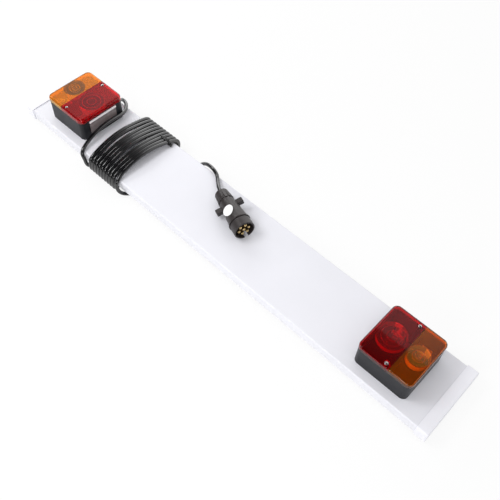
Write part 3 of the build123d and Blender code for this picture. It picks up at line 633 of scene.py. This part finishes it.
def place_piece(name, mesh, materials, slot, *nodes):
    """Puts a finished mesh on the board in the place of its CAD nodes."""
    for material in materials:
        mesh.materials.append(material)
    piece = link(name, mesh)
    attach(piece, "root")
    if nodes:
        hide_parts(*nodes)


def place_on_lamp(side, name, mesh, materials, slot, *nodes):
    """Puts a mesh that is drawn in a lamp's own frame on the lamp at one end."""
    mesh.transform(lamp_place(side))
    place_piece(f"{name}_{side}", mesh, materials, slot, *nodes)


def baked(piece):
    """The plain mesh that an object's modifiers give."""
    graph = bpy.context.evaluated_depsgraph_get()
    return bpy.data.meshes.new_from_object(piece.evaluated_get(graph))


def drop(piece):
    """Removes a helper object and its mesh."""
    data = piece.data
    bpy.data.objects.remove(piece)
    bpy.data.meshes.remove(data)


def cut_wells(mesh):
    """Sinks the screws' wells into a lens."""
    cutter = bmesh.new()
    for x, y in SCREW_PLACES:
        bmesh.ops.create_cone(
            cutter, cap_ends=True, segments=32, radius1=WELL_RADIUS, radius2=WELL_RADIUS,
            depth=2 * WELL_DEPTH, matrix=Matrix.Translation((x, y, LENS_HIGH)))
    tool = link("well_cutter", smooth_mesh(cutter, "well_cutter"))
    piece = link("lens_blank", mesh)
    well = piece.modifiers.new("wells", "BOOLEAN")
    well.object = tool
    well.operation = "DIFFERENCE"
    well.solver = "EXACT"
    made = baked(piece)
    drop(piece)
    drop(tool)
    made.shade_smooth()
    made.set_sharp_from_angle(angle=math.radians(30))
    return made


def mark_wall(mesh):
    """Gives a lens's upright wall, but not its seam or wells, the second finish."""
    for face in mesh.polygons:
        upright = abs(face.normal.z) < LEVEL_LIMIT and face.center.z < WALL_TOP
        face.material_index = int(upright and abs(face.center.x - LENS_SPLIT) > SEAM_SLACK)


class BOARD_OT_lenses(Operator):
    """Makes the red and amber lens halves with their round cups"""
    bl_idname = "lighting_board.lenses"
    bl_label = "Lenses"

    def execute(self, context):
        colours = context.scene.board_colours
        plain = {"red": colours.lens_red, "amber": colours.lens_amber}
        cups = {}
        # Each cup gets a lit copy as painted light and a dark copy as painted shade
        for colour, tint in CUP_TINT.items():
            cups[colour] = [
                lens_finish(f"Cup {colour}", CUP_PAINTED_LIT_TONE[colour], CUP_PAINTED_LIT_SCATTER, tint),
                lens_finish(f"Cup painted shade {colour}", CUP_PAINTED_SHADE_TONE[colour], CUP_PAINTED_SHADE_SCATTER[colour], tint)]
        for colour, side in LENS_HALVES:
            half, slot = (colour, side), f"lens_{colour}"
            # Painted light and shade by end: more scatter on the left lamp, a deeper amber on the
            # right
            tone = [part ** LENS_DEPTH_PAINTED_SHADE[half] for part in plain[colour]]
            shell = lens_finish(f"Lens {colour} {side}", tone, LENS_SCATTER_PAINTED_BY_END[half], LENS_TINT[colour])
            place, radius = LENS_ZONES[half]
            inner, outer = OPTIC_RINGS[colour]
            window = {"Centre": LAMP_X + place, "Radius": radius,
                      "Inner Ring": inner, "Outer Ring": outer}
            # The window's tone is painted: darker on the left lamp, lighter on the right
            zone(shell, lens_zone_group(), window, LENS_WINDOW_PAINTED_LIGHT[half])
            # The upright walls are painted lighter on the left lamp and darker on the right
            wall = lens_finish(f"Lens wall {colour} {side}", shade(tone, WALL_PAINTED_LIGHT_AND_SHADE[half])[:3],
                               LENS_SCATTER_PAINTED_BY_END[half], LENS_TINT[colour])
            # The ridges' lighter tone is a painted highlight, with more scatter on the left lamp
            ridge = lens_finish(f"Ridge {colour} {side}", RIDGE_HIGHLIGHT_TONE[colour], RIDGE_SCATTER_PAINTED_BY_END[side],
                                RIDGE_TINT[colour])
            cover = cut_wells(smooth_mesh(lens_shell(colour), f"lens_{colour}_shell"))
            mark_wall(cover)
            place_on_lamp(side, f"lens_shell_{colour}", cover, [shell, wall], slot,
                          f"lens_{colour}_{side}")
            collar = smooth_mesh(lens_cup(colour), f"lens_{colour}_cup")
            place_on_lamp(side, f"lens_cup_{colour}", collar, cups[colour], slot)
            optic = smooth_mesh(lens_optic(colour), f"lens_{colour}_optic", angle=20.0)
            place_on_lamp(side, f"lens_optic_{colour}", optic, [ridge], slot)
        return {"FINISHED"}


def screw_row_tree():
    """Domed cross head screws on the points of a mesh."""
    name = "Cross Head Screws"
    if name in bpy.data.node_groups:
        return bpy.data.node_groups[name]
    tree, start, end = new_group(
        name, "GeometryNodeTree",
        [("Geometry", "NodeSocketGeometry", None), ("Head Radius", "NodeSocketFloat", 0.0034),
         ("Head Rise", "NodeSocketFloat", 0.0017), ("Recess Length", "NodeSocketFloat", 0.0044),
         ("Recess Width", "NodeSocketFloat", 0.0011), ("Recess Depth", "NodeSocketFloat", 0.0014),
         ("Finish", "NodeSocketMaterial", None)],
        [("Geometry", "NodeSocketGeometry")])
    head = add_node(tree, "GeometryNodeMeshUVSphere", {"Segments": 32, "Rings": 16})
    flatten = add_node(tree, "ShaderNodeMath", operation="DIVIDE")
    scale = add_node(tree, "ShaderNodeCombineXYZ", {0: 1.0, 1: 1.0})
    shape = tree.nodes.new("GeometryNodeTransform")
    tree.links.new(start.outputs["Head Radius"], head.inputs["Radius"])
    tree.links.new(start.outputs["Head Rise"], flatten.inputs[0])
    tree.links.new(start.outputs["Head Radius"], flatten.inputs[1])
    tree.links.new(flatten.outputs[0], scale.inputs[2])
    tree.links.new(head.outputs["Mesh"], shape.inputs["Geometry"])
    tree.links.new(scale.outputs[0], shape.inputs["Scale"])
    cross = tree.nodes.new("GeometryNodeJoinGeometry")
    for first, second in (("Recess Length", "Recess Width"), ("Recess Width", "Recess Length")):
        size = tree.nodes.new("ShaderNodeCombineXYZ")
        bar = tree.nodes.new("GeometryNodeMeshCube")
        tree.links.new(start.outputs[first], size.inputs[0])
        tree.links.new(start.outputs[second], size.inputs[1])
        tree.links.new(start.outputs["Recess Depth"], size.inputs[2])
        tree.links.new(size.outputs[0], bar.inputs["Size"])
        tree.links.new(bar.outputs["Mesh"], cross.inputs[0])
    lift = tree.nodes.new("ShaderNodeCombineXYZ")
    raised = tree.nodes.new("GeometryNodeTransform")
    tree.links.new(start.outputs["Head Rise"], lift.inputs[2])
    tree.links.new(cross.outputs[0], raised.inputs["Geometry"])
    tree.links.new(lift.outputs[0], raised.inputs["Translation"])
    carve = add_node(tree, "GeometryNodeMeshBoolean", operation="DIFFERENCE")
    tree.links.new(shape.outputs[0], carve.inputs[0])
    tree.links.new(raised.outputs[0], carve.inputs[1])
    spread = tree.nodes.new("GeometryNodeInstanceOnPoints")
    real = tree.nodes.new("GeometryNodeRealizeInstances")
    paint = tree.nodes.new("GeometryNodeSetMaterial")
    tree.links.new(start.outputs["Geometry"], spread.inputs["Points"])
    tree.links.new(carve.outputs[0], spread.inputs["Instance"])
    tree.links.new(spread.outputs[0], real.inputs[0])
    tree.links.new(real.outputs[0], paint.inputs[0])
    tree.links.new(start.outputs["Finish"], paint.inputs["Material"])
    tree.links.new(paint.outputs[0], end.inputs[0])
    return tree


def socket_name(tree, label):
    """Identifier of a tree's named input."""
    return next(item.identifier for item in tree.interface.items_tree
                if item.item_type == "SOCKET" and item.in_out == "INPUT" and item.name == label)


def grown(points, tree, values, name):
    """Mesh that a geometry tree makes on loose points."""
    mesh = bpy.data.meshes.new(name)
    mesh.from_pydata(points, [], [])
    piece = link(name, mesh)
    nodes = piece.modifiers.new("nodes", "NODES")
    nodes.node_group = tree
    for label, value in values.items():
        nodes[socket_name(tree, label)] = value
    made = baked(piece)
    drop(piece)
    return made


class BOARD_OT_lens_screws(Operator):
    """Puts the chrome screws into the lenses' wells"""
    bl_idname = "lighting_board.lens_screws"
    bl_label = "Lens Screws"

    def execute(self, context):
        chrome = metal_finish("Screw chrome", (0.38, 0.37, 0.37), (0.22, 0.32), 0.03, 0.03)
        for side in SIDES:
            seats = [lamp_place(side) @ Vector((x, y, LENS_HIGH - SCREW_SINK))
                     for x, y in SCREW_PLACES]
            mesh = grown(seats, screw_row_tree(), {"Finish": chrome}, f"screw_heads_{side}")
            mesh.shade_smooth()
            mesh.set_sharp_from_angle(angle=math.radians(40))
            place_piece(f"screw_heads_{side}", mesh, [], "screw_chrome", f"lens_screws_{side}")
        return {"FINISHED"}


def bevelled_box(low, high, radius, name):
    """A box with rounded edges, between two corners."""
    made = bmesh.new()
    size = [b - a for a, b in zip(low, high)]
    middle = [(a + b) / 2 for a, b in zip(low, high)]
    bmesh.ops.create_cube(
        made, size=1.0, matrix=Matrix.Translation(middle) @ Matrix.Diagonal((*size, 1.0)))
    bmesh.ops.bevel(
        made, geom=list(made.edges), offset=radius, segments=3, affect="EDGES", profile=0.5)
    return smooth_mesh(made, name)


class BOARD_OT_lamp_bodies(Operator):
    """Finishes the lamp trays, seals, bulbs and fixings and makes the number plate windows"""
    bl_idname = "lighting_board.lamp_bodies"
    bl_label = "Lamp Bodies"

    def execute(self, context):
        colours = context.scene.board_colours
        black = finish("Lamp black", colours.lamp_black, (0.34, 0.46), grain_scale=1400.0,
                       grain_depth=0.10, drift=0.12, constants={"Specular IOR Level": 0.22})
        rubber = finish("Seal rubber", (0.02, 0.02, 0.02), (0.6, 0.75), grain_scale=1500.0,
                        grain_depth=0.2, drift=0.1)
        clear = lens_finish("Window clear", (0.38, 0.32, 0.32), 0.5, (0.9, 0.88, 0.86))
        # A plain white strip along the window's top
        white_bar = finish("Window bar", (0.92, 0.92, 0.93), (0.3, 0.45), grain_scale=700.0,
                         grain_depth=0.06, drift=0.03, drift_scale=40.0)
        glass = lens_finish("Bulb glass", (0.97, 0.97, 0.97), 0.02, (0.95, 0.95, 0.95))
        steel = metal_finish("Plated steel", (0.55, 0.54, 0.50), (0.3, 0.42), 0.06, 0.05)
        # The bulb holders are diffuse near-white instead of plated metal, a painted glint
        plate = finish("Holder plate", (0.95, 0.94, 0.90), (0.3, 0.42), grain_depth=0.04, drift=0.04,
                       drift_scale=40.0)
        brass = metal_finish("Bulb cap metal", (0.62, 0.52, 0.30), (0.25, 0.36), 0.05, 0.05)
        finishes = {"lamp_base": black, "lens_seal": rubber, "wire_grommet": rubber,
                    "fixing_bolts": steel, "fixing_washers": steel, "fixing_nuts": steel}
        for bulb in ("stop_bulb", "turn_bulb"):
            finishes.update({bulb: glass, f"{bulb}_cap": brass, f"{bulb}_holder": plate})
        for side in SIDES:
            for name, material in finishes.items():
                dress(f"{name}_{side}", material)
            pane = bevelled_box(*PANE_BOX, PANE_EDGE, "pane")
            place_on_lamp(side, "window_pane", pane, [clear], "window_clear", f"plate_window_{side}")
            bar = bevelled_box(*BAR_BOX, BAR_EDGE, "bar")
            place_on_lamp(side, "window_bar", bar, [white_bar], "window_clear")
        dress("link_lead", finish("Lead sheath", colours.cable_black, (0.3, 0.4), grain_scale=700.0,
                                  grain_depth=0.03))
        dress("cable_boot", rubber)
        return {"FINISHED"}


# Plug and tie

TIE_PLACE, TIE_HALF, TIE_RISE = (-0.2085, 0.0372), 0.0113, 0.0056
TIE_SIDES, TIE_THICK = (0.0524, 0.0556), 0.0010
TIE_BULGE = (0.5, 0.7)  # powers that square off the ring's round, across and up
TIE_HEAD_BOX, TIE_HEAD_EDGE = ((-0.1972, 0.0518, 0.0312), (-0.1928, 0.0568, 0.0362)), 0.0007
PLUG_REAR = (-0.0434, 0.0332, 0.04427)
PLUG_YAW, PLUG_PITCH, PLUG_TAPER = math.radians(-20.4), math.radians(4.0), math.atan(0.0998)
BADGE_PLACE, BADGE_BARREL, BADGE_TURN = 0.0525, 0.0161, math.radians(39.0)
BADGE_EDGE = 0.0002
# Radius, and lower and upper height above the plug's side
LABEL_BOSS = (0.0106, -0.0045, 0.0001)
LABEL_DISC = (0.0104, 0.0001, 0.0005)


def tie_strap():
    """Flat strap in a flattened ring round the last turns."""
    made = bmesh.new()
    near, far = TIE_SIDES
    rings = []
    for turn in full_turn(48):
        across, rise = math.cos(turn), math.sin(turn)
        ring = []
        for grow, y in ((0.0, near), (0.0, far), (TIE_THICK, far), (TIE_THICK, near)):
            x = math.copysign(abs(across) ** TIE_BULGE[0], across) * (TIE_HALF + grow)
            z = math.copysign(abs(rise) ** TIE_BULGE[1], rise) * (TIE_RISE + grow)
            ring.append((TIE_PLACE[0] + x, y, TIE_PLACE[1] + z))
        rings.append(ring)
    loft(made, rings, join_ends=True)
    return smooth_mesh(made, "tie_strap", angle=40.0)


def badge(radius, low, high):
    """Round flat piece on the plug's tapered side, between two heights above it."""
    level = math.cos(PLUG_PITCH)
    forward = Vector((math.cos(PLUG_YAW) * level, math.sin(PLUG_YAW) * level, math.sin(PLUG_PITCH)))
    side = Vector((-math.sin(PLUG_YAW), math.cos(PLUG_YAW), 0.0))
    up = forward.cross(side)
    outward = up * math.cos(BADGE_TURN) - side * math.sin(BADGE_TURN)
    normal = (outward * math.cos(PLUG_TAPER) - forward * math.sin(PLUG_TAPER)).normalized()
    along = (forward - normal * forward.dot(normal)).normalized()
    across = normal.cross(along)
    centre = Vector(PLUG_REAR) + forward * BADGE_PLACE + outward * BADGE_BARREL
    rings = []
    for reach, height in ((radius, low), (radius, high - BADGE_EDGE), (radius - BADGE_EDGE, high)):
        rings.append([centre + normal * height + along * (reach * math.cos(turn))
                      + across * (reach * math.sin(turn)) for turn in full_turn(48)])
    made = bmesh.new()
    loft(made, rings, close_first=True, close_last=True)
    return smooth_mesh(made, "badge", angle=40.0)


class BOARD_OT_plug(Operator):
    """Finishes the plug and makes its blank label and the cable tie"""
    bl_idname = "lighting_board.plug"
    bl_label = "Plug and Tie"

    def execute(self, context):
        shell = finish("Plug shell", context.scene.board_colours.plug_black, (0.36, 0.48),
                       grain_scale=1300.0, grain_depth=0.12, drift=0.12)
        for name in ("plug_gland_nut", "plug_body", "plug_skirt", "plug_contact_insert"):
            dress(name, shell)
        dress("plug_pins", metal_finish("Pin brass", (0.62, 0.46, 0.22), (0.28, 0.38), 0.03, 0.04))
        paper = finish("Blank label", (0.86, 0.86, 0.87), (0.4, 0.5), grain_depth=0.02, drift=0.02)
        place_piece("label_boss", badge(*LABEL_BOSS), [shell], "plug_plastic")
        place_piece("label_disc", badge(*LABEL_DISC), [paper], "blank_label", "plug_label")
        tie = finish("Tie plastic", (0.012, 0.012, 0.012), (0.3, 0.42), drift=0.1)
        place_piece("tie_strap", tie_strap(), [tie], "tie_plastic", "cable_tie")
        head = bevelled_box(*TIE_HEAD_BOX, TIE_HEAD_EDGE, "tie_head")
        place_piece("tie_head", head, [tie], "tie_plastic")
        return {"FINISHED"}


# Stage

CAMERA_PLACE = (0.48984, -0.49375, 0.96731)
CAMERA_TURN = (34.3951, -1.8661, 43.2118)
CAMERA_LENS, CAMERA_SENSOR = 48.914, 36.0
CAMERA_SHIFT = (-0.00804, -0.00232)
FLOOR_HALF, FLOOR_Z, FLOOR_GLOW = 4.0, -0.0003, 0.86
WORLD_FILL = 0.64
# A ray's rise or depth, from and to, and the brightness that it meets, from and to
CEILING = (0.72, 0.885, 1.0, 0.04)
NEAR_WALL = (-0.10, 0.38, 0.22, 1.0)
FAR_WALL = (0.26, 0.56, 0.5, 1.6)
# Name, place, target, size in metres and power in watts
LIGHTS = (
    ("key", (-0.85, -0.75, 1.65), (-0.15, 0.0, 0.0), 0.8, 13.8),
    ("side", (-2.21, 0.25, 1.58), (-0.2, 0.0, 0.05), 0.5, 5.5),
    ("back", (-1.36, 1.0, 0.65), (-0.2, 0.0, 0.05), 0.9, 4.5),
    ("fill", (0.45, -1.05, 0.70), (-0.15, 0.0, 0.0), 0.5, 4.4),
    ("panel", (0.2, 1.28, 1.6), (0.2, 1.28, 0.0), 0.9, 1.1),
)


def seen_ray(tree):
    """One for camera, glossy and transmission rays."""
    path = tree.nodes.new("ShaderNodeLightPath")
    first = add_node(tree, "ShaderNodeMath", operation="MAXIMUM")
    both = add_node(tree, "ShaderNodeMath", operation="MAXIMUM")
    tree.links.new(path.outputs["Is Camera Ray"], first.inputs[0])
    tree.links.new(path.outputs["Is Glossy Ray"], first.inputs[1])
    tree.links.new(first.outputs[0], both.inputs[0])
    tree.links.new(path.outputs["Is Transmission Ray"], both.inputs[1])
    return both.outputs[0]


def ramp(tree, source, limits):
    """A value mapped from one range to another."""
    labels = ("From Min", "From Max", "To Min", "To Max")
    made = add_node(tree, "ShaderNodeMapRange", dict(zip(labels, limits)))
    tree.links.new(source, made.inputs["Value"])
    return made.outputs["Result"]


def make_camera(scene):
    """The camera that looks down along the board."""
    camera = link("camera", bpy.data.cameras.new("camera"))
    camera.location = CAMERA_PLACE
    camera.rotation_euler = [math.radians(turn) for turn in CAMERA_TURN]
    camera.data.lens = CAMERA_LENS
    camera.data.sensor_width = CAMERA_SENSOR
    camera.data.shift_x, camera.data.shift_y = CAMERA_SHIFT
    scene.camera = camera


def make_floor():
    """A pale floor that keeps the board's shadow."""
    corners = [(FLOOR_HALF * x, FLOOR_HALF * y, FLOOR_Z)
               for x, y in ((-1, -1), (1, -1), (1, 1), (-1, 1))]
    mesh = bpy.data.meshes.new("floor")
    mesh.from_pydata(corners, [], [(0, 1, 2, 3)])
    floor = link("floor", mesh)
    made = bpy.data.materials.new("Floor")
    made.use_nodes = True
    tree = made.node_tree
    tree.nodes.remove(tree.nodes["Principled BSDF"])
    matt = add_node(tree, "ShaderNodeBsdfDiffuse", {"Color": (0.9, 0.9, 0.9, 1)})
    white = add_node(tree, "ShaderNodeEmission", {"Color": (1, 1, 1, 1), "Strength": 1.0})
    share = add_node(tree, "ShaderNodeMath", {1: FLOOR_GLOW}, operation="MULTIPLY")
    blend = tree.nodes.new("ShaderNodeMixShader")
    tree.links.new(seen_ray(tree), share.inputs[0])
    tree.links.new(share.outputs[0], blend.inputs[0])
    tree.links.new(matt.outputs[0], blend.inputs[1])
    tree.links.new(white.outputs[0], blend.inputs[2])
    tree.links.new(blend.outputs[0], tree.nodes["Material Output"].inputs["Surface"])
    mesh.materials.append(made)


def make_world(scene):
    """Plain white light; seen rays meet a dark ceiling, and mirrored ones a room with two walls."""
    scene.world = scene.world or bpy.data.worlds.new("world")
    scene.world.use_nodes = True
    tree = scene.world.node_tree
    back = tree.nodes["Background"]
    back.inputs["Color"].default_value = (1, 1, 1, 1)
    direction = tree.nodes.new("ShaderNodeTexCoord")
    parts = tree.nodes.new("ShaderNodeSeparateXYZ")
    path = tree.nodes.new("ShaderNodeLightPath")
    walls = add_node(tree, "ShaderNodeMath", operation="MULTIPLY")
    mirrored = add_node(tree, "ShaderNodeMix", {NUMBER_A: 1.0}, data_type="FLOAT")
    room = add_node(tree, "ShaderNodeMath", operation="MULTIPLY")
    level = add_node(tree, "ShaderNodeMix", {NUMBER_A: WORLD_FILL}, data_type="FLOAT")
    tree.links.new(direction.outputs["Generated"], parts.inputs[0])
    tree.links.new(ramp(tree, parts.outputs["Y"], NEAR_WALL), walls.inputs[0])
    tree.links.new(ramp(tree, parts.outputs["Y"], FAR_WALL), walls.inputs[1])
    tree.links.new(path.outputs["Is Glossy Ray"], mirrored.inputs[0])
    tree.links.new(walls.outputs[0], mirrored.inputs[NUMBER_B])
    tree.links.new(ramp(tree, parts.outputs["Z"], CEILING), room.inputs[0])
    tree.links.new(mirrored.outputs[0], room.inputs[1])
    tree.links.new(seen_ray(tree), level.inputs[0])
    tree.links.new(room.outputs[0], level.inputs[NUMBER_B])
    tree.links.new(level.outputs[0], back.inputs["Strength"])


def make_lights():
    """Square studio lamps, each turned to its target."""
    for name, place, target, size, power in LIGHTS:
        lamp = bpy.data.lights.new(name, "AREA")
        lamp.shape = "SQUARE"
        lamp.size = size
        lamp.energy = power
        light = link(name, lamp)
        light.location = place
        light.rotation_euler = (Vector(target) - light.location).to_track_quat("-Z", "Y").to_euler()


class BOARD_OT_stage(Operator):
    """Sets the camera, floor, world and studio lights"""
    bl_idname = "lighting_board.stage"
    bl_label = "Stage"

    def execute(self, context):
        context.scene.view_settings.view_transform = "Standard"
        make_camera(context.scene)
        make_floor()
        make_world(context.scene)
        make_lights()
        return {"FINISHED"}


class BOARD_PT_sidebar(Panel):
    """Lists the pieces that can be made"""
    bl_idname = "BOARD_PT_sidebar"
    bl_label = "Lighting Board"
    bl_space_type = "VIEW_3D"
    bl_region_type = "UI"
    bl_category = "Lighting Board"

    def draw(self, context):
        column = self.layout.column(align=True)
        for maker in MAKERS:
            column.operator(maker.bl_idname)
        for name in ("board_sizes", "board_colours"):
            group = getattr(context.scene, name)
            box = self.layout.box()
            for prop in group.bl_rna.properties:
                if prop.identifier not in ("rna_type", "name"):
                    box.prop(group, prop.identifier)


MAKERS = (BOARD_OT_stage, BOARD_OT_panel, BOARD_OT_lamp_bodies, BOARD_OT_lenses,
          BOARD_OT_lens_screws, BOARD_OT_plug, BOARD_OT_cable)
CLASSES = (BoardSizes, BoardColours) + MAKERS + (BOARD_PT_sidebar,)


def register():
    for made in CLASSES:
        bpy.utils.register_class(made)
    bpy.types.Scene.board_sizes = PointerProperty(type=BoardSizes)
    bpy.types.Scene.board_colours = PointerProperty(type=BoardColours)


def unregister():
    del bpy.types.Scene.board_colours
    del bpy.types.Scene.board_sizes
    for made in reversed(CLASSES):
        bpy.utils.unregister_class(made)


def main():
    register()
    bpy.ops.lighting_board.stage()
    bpy.ops.lighting_board.panel()
    bpy.ops.lighting_board.lamp_bodies()
    bpy.ops.lighting_board.lenses()
    bpy.ops.lighting_board.lens_screws()
    bpy.ops.lighting_board.plug()
    bpy.ops.lighting_board.cable()


if __name__ == "__main__":
    main()
